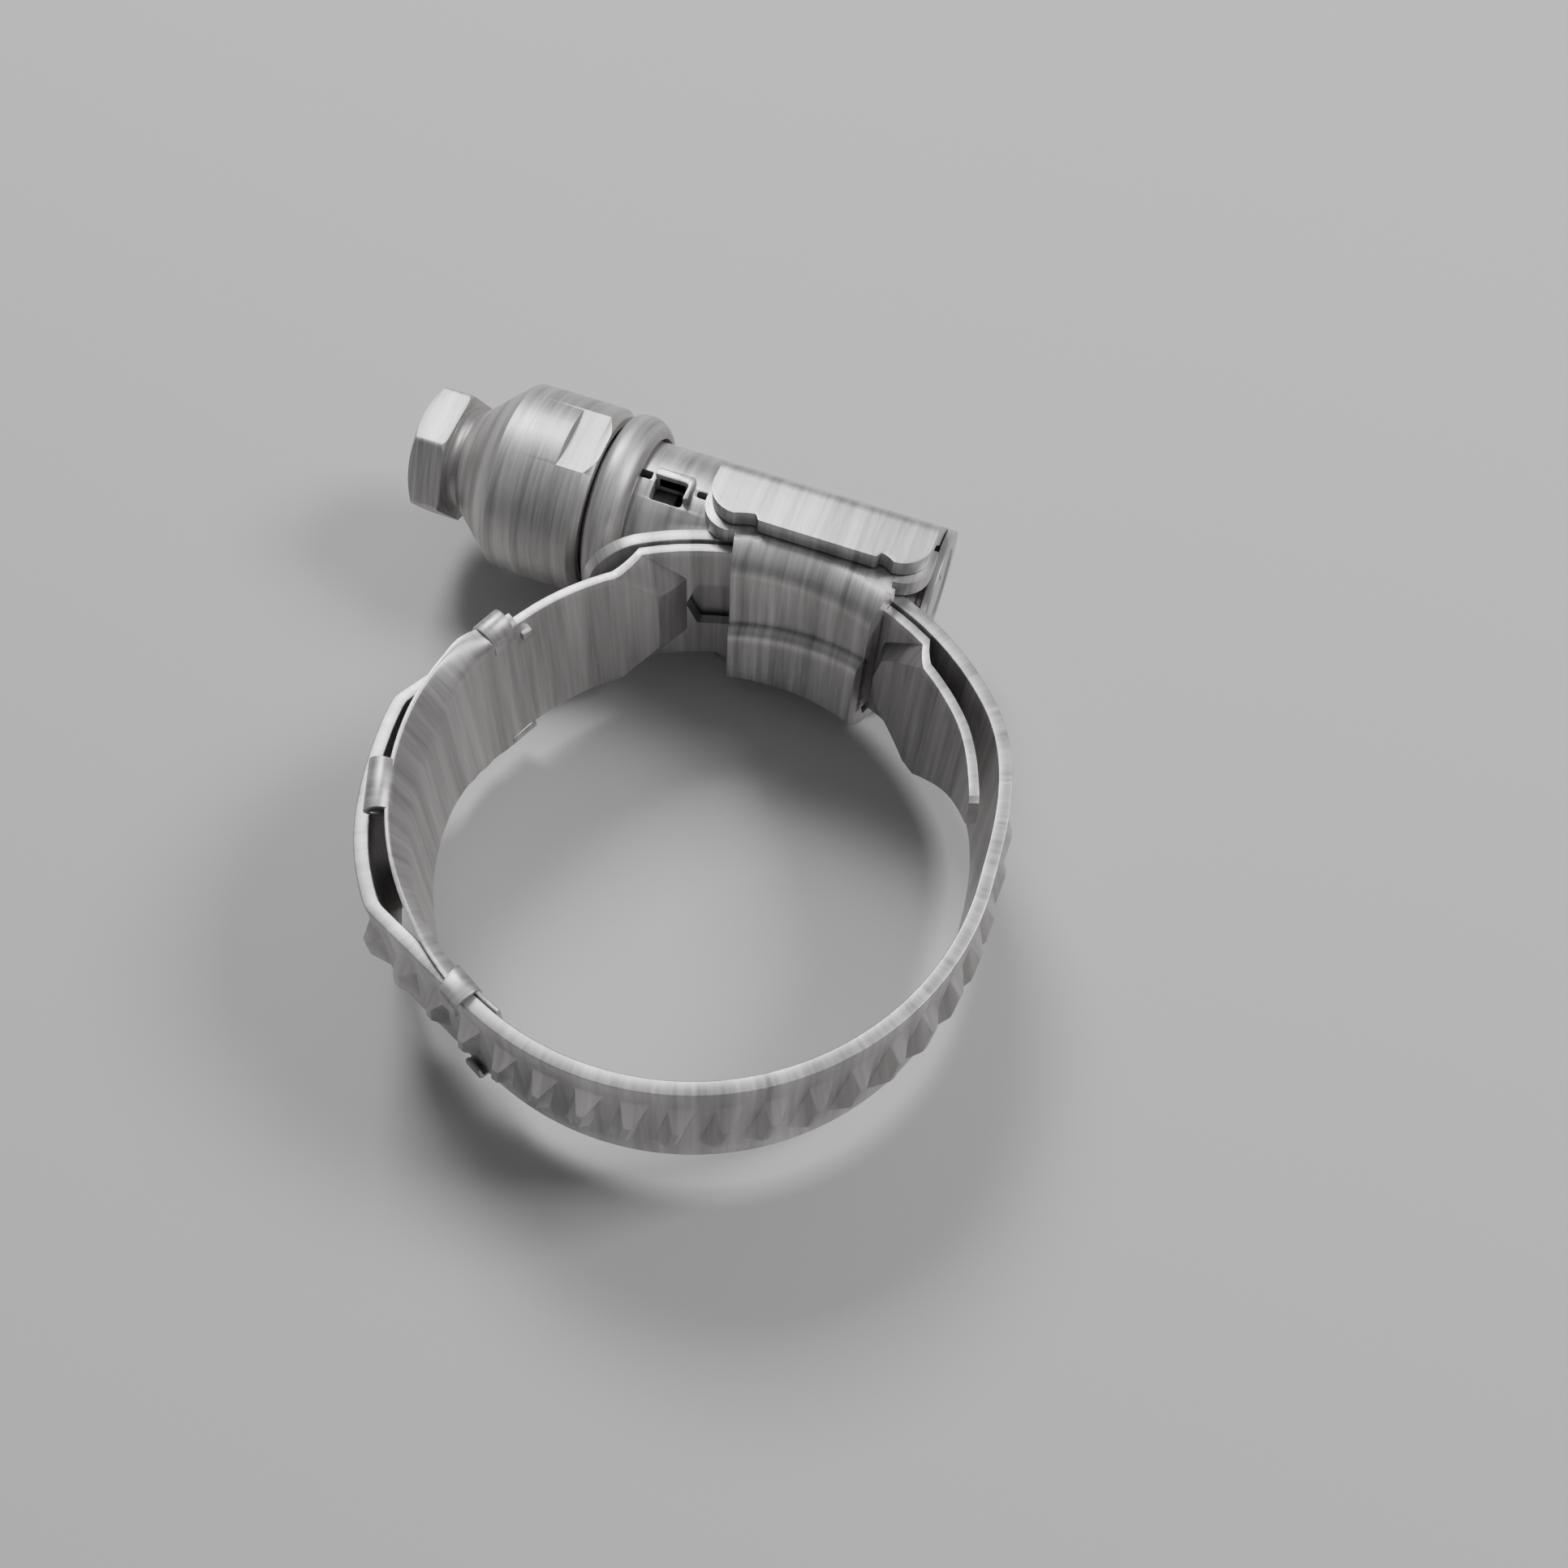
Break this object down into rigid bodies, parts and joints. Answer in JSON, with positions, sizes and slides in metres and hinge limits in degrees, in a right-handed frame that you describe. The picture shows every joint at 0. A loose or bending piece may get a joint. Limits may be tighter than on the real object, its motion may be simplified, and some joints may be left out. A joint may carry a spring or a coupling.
{
  "type": "worm-drive hose clamp",
  "caption": "Constant-tension worm-drive hose clamp: toothed steel band, hex-head worm screw with a disc-spring cup, housing, saddle and hooked liner.",
  "frame": {"origin": "bottom centre of the clamp's box as it lies flat", "axes": "+Z along the ring's axis, +X along the screw's axis from the hex head towards the housing's far end, +Y from the ring's centre to the screw"},
  "size_m": [0.054, 0.055, 0.0202],
  "materials": {
    "band_steel": "brushed across the strip",
    "liner_steel": "fine satin, streaked across the strip",
    "housing_steel": "brushed across the pressing",
    "screw_steel": "turned, soft circumferential streaks",
    "cup_steel": "turned, soft circumferential streaks",
    "spring_steel": "lightly oiled spring steel"
  },
  "bodies": {
    "housing_body": {"housing": "housing_steel", "saddle": "housing_steel", "spring_collar": "cup_steel", "shank_bushing": "spring_steel", "band_fixed_end": "band_steel"},
    "cup_body": {"spring_cup": "cup_steel", "thrust_washer": "spring_steel"},
    "screw_body": {"screw": "screw_steel"},
    "disc_body_1": {"disc_spring_1": "spring_steel"},
    "disc_body_2": {"disc_spring_2": "spring_steel"},
    "disc_body_3": {"disc_spring_3": "spring_steel"},
    "disc_body_4": {"disc_spring_4": "spring_steel"},
    "disc_body_5": {"disc_spring_5": "spring_steel"},
    "disc_body_6": {"disc_spring_6": "spring_steel"},
    "disc_body_7": {"disc_spring_7": "spring_steel"},
    "disc_body_8": {"disc_spring_8": "spring_steel"},
    "left_band_body": {"band_bow": "band_steel", "liner": "liner_steel"},
    "right_band_body": {"band_threaded": "band_steel"},
    "tail_body": {"band_tail": "band_steel"}
  },
  "joints": [
    {"name": "spring_travel", "type": "slide", "parent": "housing_body", "child": "cup_body", "axis": [1, 0, 0], "range_m": [0, 0.0004], "stiffness_N_per_m": 2000},
    {"name": "screw_spin", "type": "hinge", "parent": "cup_body", "child": "screw_body", "pos_m": [-0.02372, 0.01986, 0.0101], "axis": [1, 0, 0], "range_deg": [-540, 540]},
    {"name": "band_flex_left", "type": "hinge", "parent": "housing_body", "child": "left_band_body", "pos_m": [-0.01155, 0.00395, 0.0101], "axis": [0, 0, 1], "range_deg": [-4.3, 4.3]},
    {"name": "band_flex_bottom", "type": "hinge", "parent": "left_band_body", "child": "right_band_body", "pos_m": [0.00528, -0.02607, 0.0101], "axis": [0, 0, 1], "range_deg": [-4.1, 4.1]},
    {"name": "band_flex_right", "type": "hinge", "parent": "right_band_body", "child": "tail_body", "pos_m": [0.02405, 0.00506, 0.0101], "axis": [0, 0, 1], "range_deg": [-3.9, 3.9]},
    {"name": "disc_slide_1", "type": "slide", "parent": "housing_body", "child": "disc_body_1", "axis": [1, 0, 0], "range_m": [0, 0.0004]},
    {"name": "disc_slide_2", "type": "slide", "parent": "housing_body", "child": "disc_body_2", "axis": [1, 0, 0], "range_m": [0, 0.0004]},
    {"name": "disc_slide_3", "type": "slide", "parent": "housing_body", "child": "disc_body_3", "axis": [1, 0, 0], "range_m": [0, 0.0004]},
    {"name": "disc_slide_4", "type": "slide", "parent": "housing_body", "child": "disc_body_4", "axis": [1, 0, 0], "range_m": [0, 0.0004]},
    {"name": "disc_slide_5", "type": "slide", "parent": "housing_body", "child": "disc_body_5", "axis": [1, 0, 0], "range_m": [0, 0.0004]},
    {"name": "disc_slide_6", "type": "slide", "parent": "housing_body", "child": "disc_body_6", "axis": [1, 0, 0], "range_m": [0, 0.0004]},
    {"name": "disc_slide_7", "type": "slide", "parent": "housing_body", "child": "disc_body_7", "axis": [1, 0, 0], "range_m": [0, 0.0004]},
    {"name": "disc_slide_8", "type": "slide", "parent": "housing_body", "child": "disc_body_8", "axis": [1, 0, 0], "range_m": [0, 0.0004]}
  ],
  "couplings": [
    {"joint": "band_flex_left", "follows": "screw_spin", "ratio": 0.0076226},
    {"joint": "band_flex_bottom", "follows": "screw_spin", "ratio": 0.0072962},
    {"joint": "band_flex_right", "follows": "screw_spin", "ratio": 0.0068347},
    {"joint": "disc_slide_1", "follows": "spring_travel", "ratio": 0.9375},
    {"joint": "disc_slide_2", "follows": "spring_travel", "ratio": 0.8125},
    {"joint": "disc_slide_3", "follows": "spring_travel", "ratio": 0.6875},
    {"joint": "disc_slide_4", "follows": "spring_travel", "ratio": 0.5625},
    {"joint": "disc_slide_5", "follows": "spring_travel", "ratio": 0.4375},
    {"joint": "disc_slide_6", "follows": "spring_travel", "ratio": 0.3125},
    {"joint": "disc_slide_7", "follows": "spring_travel", "ratio": 0.1875},
    {"joint": "disc_slide_8", "follows": "spring_travel", "ratio": 0.0625}
  ]
}
